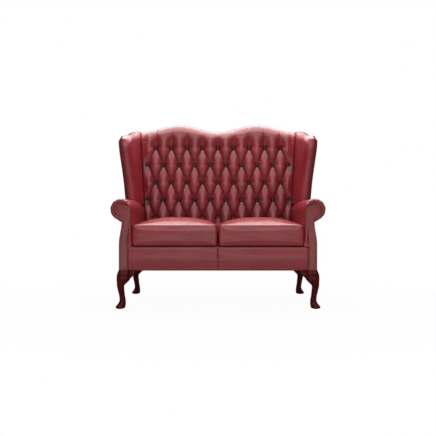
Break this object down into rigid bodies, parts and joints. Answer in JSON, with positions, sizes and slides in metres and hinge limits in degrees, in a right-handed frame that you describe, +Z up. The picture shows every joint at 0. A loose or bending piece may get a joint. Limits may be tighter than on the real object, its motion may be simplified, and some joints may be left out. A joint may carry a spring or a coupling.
{
  "type": "sofa",
  "caption": "Wing-back sofa for two in leather, with a button-tufted double-hump back, scroll arms, nailed edges, loose crowned cushions and cabriole legs.",
  "frame": {"origin": "on the floor, at the middle of the sofa's outline seen from above", "axes": "+Z up, the seat's front faces -Y, +X to the right of someone who faces the sofa"},
  "size_m": [1.2908, 0.8009, 1.1725],
  "materials": {
    "leather": "satin",
    "timber": "sawn",
    "mahogany": "semi-gloss lacquer",
    "brass": "antiqued",
    "steel": "bright",
    "foam": "matt",
    "cloth": "matt"
  },
  "bodies": {
    "frame": {"front_rail": "timber", "side_rail_left": "timber", "side_rail_right": "timber", "back_rail": "timber", "centre_rail": "timber", "corner_blocks": "timber", "arm_post_left": "timber", "arm_post_right": "timber", "arm_rail_left": "timber", "arm_rail_right": "timber", "back_post_left": "timber", "back_post_right": "timber", "crest_rail": "timber", "middle_back_rail": "timber", "lower_back_rail": "timber", "wing_board_left": "timber", "wing_board_right": "timber", "seat_springs": "steel", "spring_clips": "steel", "back_webbing": "cloth", "back_foam": "foam", "tufted_back": "leather", "back_buttons": "leather", "outside_back": "leather", "seat_pad": "foam", "platform_cloth": "cloth", "front_border": "leather", "arm_pad_left": "leather", "arm_pad_right": "leather", "arm_facing_left": "leather", "arm_facing_right": "leather", "arm_nails_left": "brass", "arm_nails_right": "brass", "outside_arm_left": "leather", "outside_arm_right": "leather", "wing_pad_left": "leather", "wing_pad_right": "leather", "outside_wing_left": "leather", "outside_wing_right": "leather", "wing_nails_left": "brass", "wing_nails_right": "brass", "front_leg_left": "mahogany", "front_leg_right": "mahogany", "rear_leg_left": "mahogany", "rear_leg_right": "mahogany", "leg_ears": "mahogany", "leg_bolts": "steel", "leg_nuts": "steel", "foot_glides": "cloth", "dust_cover": "cloth"},
    "cushion_left": {"cushion_cover_left": "leather", "cushion_core_left": "foam", "cushion_closing_left": "leather"},
    "cushion_right": {"cushion_cover_right": "leather", "cushion_core_right": "foam", "cushion_closing_right": "leather"}
  },
  "joints": [
    {"name": "cushion_left_lift", "type": "slide", "parent": "frame", "child": "cushion_left", "axis": [0, 0, 1], "range_m": [0, 0.35]},
    {"name": "cushion_right_lift", "type": "slide", "parent": "frame", "child": "cushion_right", "axis": [0, 0, 1], "range_m": [0, 0.35]}
  ]
}
